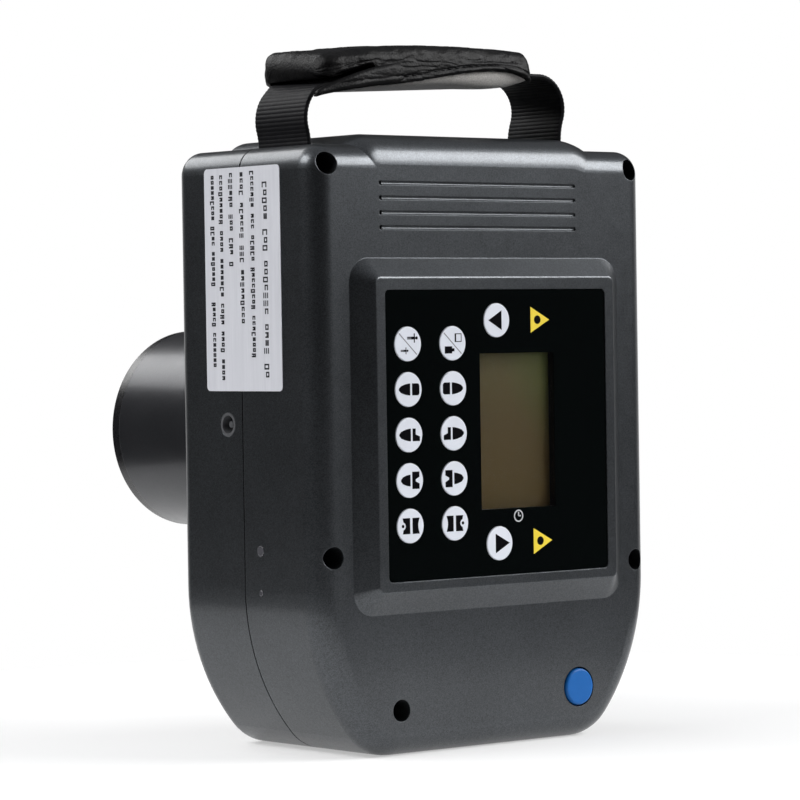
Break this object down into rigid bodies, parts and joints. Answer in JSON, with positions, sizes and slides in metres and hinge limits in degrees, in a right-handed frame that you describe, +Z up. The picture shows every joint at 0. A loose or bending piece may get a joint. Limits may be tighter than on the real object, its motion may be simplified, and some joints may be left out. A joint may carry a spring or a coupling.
{
  "type": "intraoral x-ray unit",
  "caption": "Hand-held dental x-ray unit: two-shell casing with key panel, exposure button, round beam cone and padded strap handle",
  "frame": {"origin": "on the flat base that the unit stands on, at mid-width and below the middle of the casing's depth", "axes": "+Y from the key panel towards the cone's mouth, +Z up, +X to the right of someone facing the key panel"},
  "size_m": [0.1354, 0.1592, 0.2175],
  "materials": {
    "casing": "metallic grey lacquer on moulded plastic",
    "overlay": "black printed film",
    "window": "clear film",
    "lcd": "olive liquid-crystal glass",
    "key": "pale grey",
    "button": "blue",
    "label": "silver label film",
    "cone": "dark glossy plastic",
    "ring": "black",
    "lead": "lead sheet",
    "steel": "zinc-plated",
    "tank": "cast",
    "clear_glass": "clear",
    "copper": "copper",
    "electrode": "nickel",
    "insulator": "natural",
    "board": "green solder mask",
    "component": "moulded black",
    "ferrite": "sintered",
    "cell": "blue shrink sleeve",
    "tray": "black",
    "jack": "black",
    "light": "frosted",
    "gasket": "black",
    "webbing": "ribbed nylon",
    "grip": "black artificial leather"
  },
  "bodies": {
    "unit": {"front_cover": "casing", "rear_cover": "casing", "seam_gasket": "gasket", "cover_screws": "steel", "panel_overlay": "overlay", "lcd_window": "window", "lcd_panel": "lcd", "lcd_board": "board", "key_switches": "component", "control_board": "board", "control_chips": "component", "board_screws": "steel", "board_spacers": "insulator", "power_board": "board", "power_parts": "component", "buzzer": "component", "exposure_switch": "component", "switch_board": "board", "rating_label": "label", "dc_jack": "jack", "cone_tube": "cone", "cone_flange": "cone", "cone_liner": "lead", "cone_tip_ring": "ring", "lead_diaphragm": "lead", "tank_body": "tank", "tank_lid": "tank", "inner_screws": "steel", "beam_filter": "tank", "tube_glass": "clear_glass", "tube_anode": "copper", "tube_cathode": "electrode", "tube_supports": "insulator", "transformer_core": "ferrite", "transformer_winding": "copper", "multiplier_board": "board", "multiplier_parts": "component", "battery_cells": "cell", "battery_tray": "tray", "battery_clamp": "steel", "protection_board": "board", "strap_leg_left": "webbing", "strap_leg_right": "webbing", "strap_pins": "steel", "status_lights": "light"},
    "handle": {"handle_grip": "grip", "grip_webbing": "webbing"},
    "exposure_button": {"exposure_button": "button"},
    "key_a1": {"key_a1": "key"},
    "key_a2": {"key_a2": "key"},
    "key_a3": {"key_a3": "key"},
    "key_a4": {"key_a4": "key"},
    "key_a5": {"key_a5": "key"},
    "key_b1": {"key_b1": "key"},
    "key_b2": {"key_b2": "key"},
    "key_b3": {"key_b3": "key"},
    "key_b4": {"key_b4": "key"},
    "key_b5": {"key_b5": "key"},
    "key_less": {"key_less": "key"},
    "key_more": {"key_more": "key"}
  },
  "joints": [
    {"name": "grip_press", "type": "slide", "parent": "unit", "child": "handle", "axis": [0, 0, 1], "range_m": [-0.012, 0], "stiffness_N_per_m": 400, "deforming": ["strap_leg_left", "strap_leg_right"]},
    {"name": "exposure_press", "type": "slide", "parent": "unit", "child": "exposure_button", "axis": [0, 1, 0], "range_m": [0, 0.0015], "stiffness_N_per_m": 400},
    {"name": "key_a1_press", "type": "slide", "parent": "unit", "child": "key_a1", "axis": [0, 1, 0], "range_m": [0, 0.0004], "stiffness_N_per_m": 300},
    {"name": "key_a2_press", "type": "slide", "parent": "unit", "child": "key_a2", "axis": [0, 1, 0], "range_m": [0, 0.0004], "stiffness_N_per_m": 300},
    {"name": "key_a3_press", "type": "slide", "parent": "unit", "child": "key_a3", "axis": [0, 1, 0], "range_m": [0, 0.0004], "stiffness_N_per_m": 300},
    {"name": "key_a4_press", "type": "slide", "parent": "unit", "child": "key_a4", "axis": [0, 1, 0], "range_m": [0, 0.0004], "stiffness_N_per_m": 300},
    {"name": "key_a5_press", "type": "slide", "parent": "unit", "child": "key_a5", "axis": [0, 1, 0], "range_m": [0, 0.0004], "stiffness_N_per_m": 300},
    {"name": "key_b1_press", "type": "slide", "parent": "unit", "child": "key_b1", "axis": [0, 1, 0], "range_m": [0, 0.0004], "stiffness_N_per_m": 300},
    {"name": "key_b2_press", "type": "slide", "parent": "unit", "child": "key_b2", "axis": [0, 1, 0], "range_m": [0, 0.0004], "stiffness_N_per_m": 300},
    {"name": "key_b3_press", "type": "slide", "parent": "unit", "child": "key_b3", "axis": [0, 1, 0], "range_m": [0, 0.0004], "stiffness_N_per_m": 300},
    {"name": "key_b4_press", "type": "slide", "parent": "unit", "child": "key_b4", "axis": [0, 1, 0], "range_m": [0, 0.0004], "stiffness_N_per_m": 300},
    {"name": "key_b5_press", "type": "slide", "parent": "unit", "child": "key_b5", "axis": [0, 1, 0], "range_m": [0, 0.0004], "stiffness_N_per_m": 300},
    {"name": "key_less_press", "type": "slide", "parent": "unit", "child": "key_less", "axis": [0, 1, 0], "range_m": [0, 0.0004], "stiffness_N_per_m": 300},
    {"name": "key_more_press", "type": "slide", "parent": "unit", "child": "key_more", "axis": [0, 1, 0], "range_m": [0, 0.0004], "stiffness_N_per_m": 300}
  ]
}
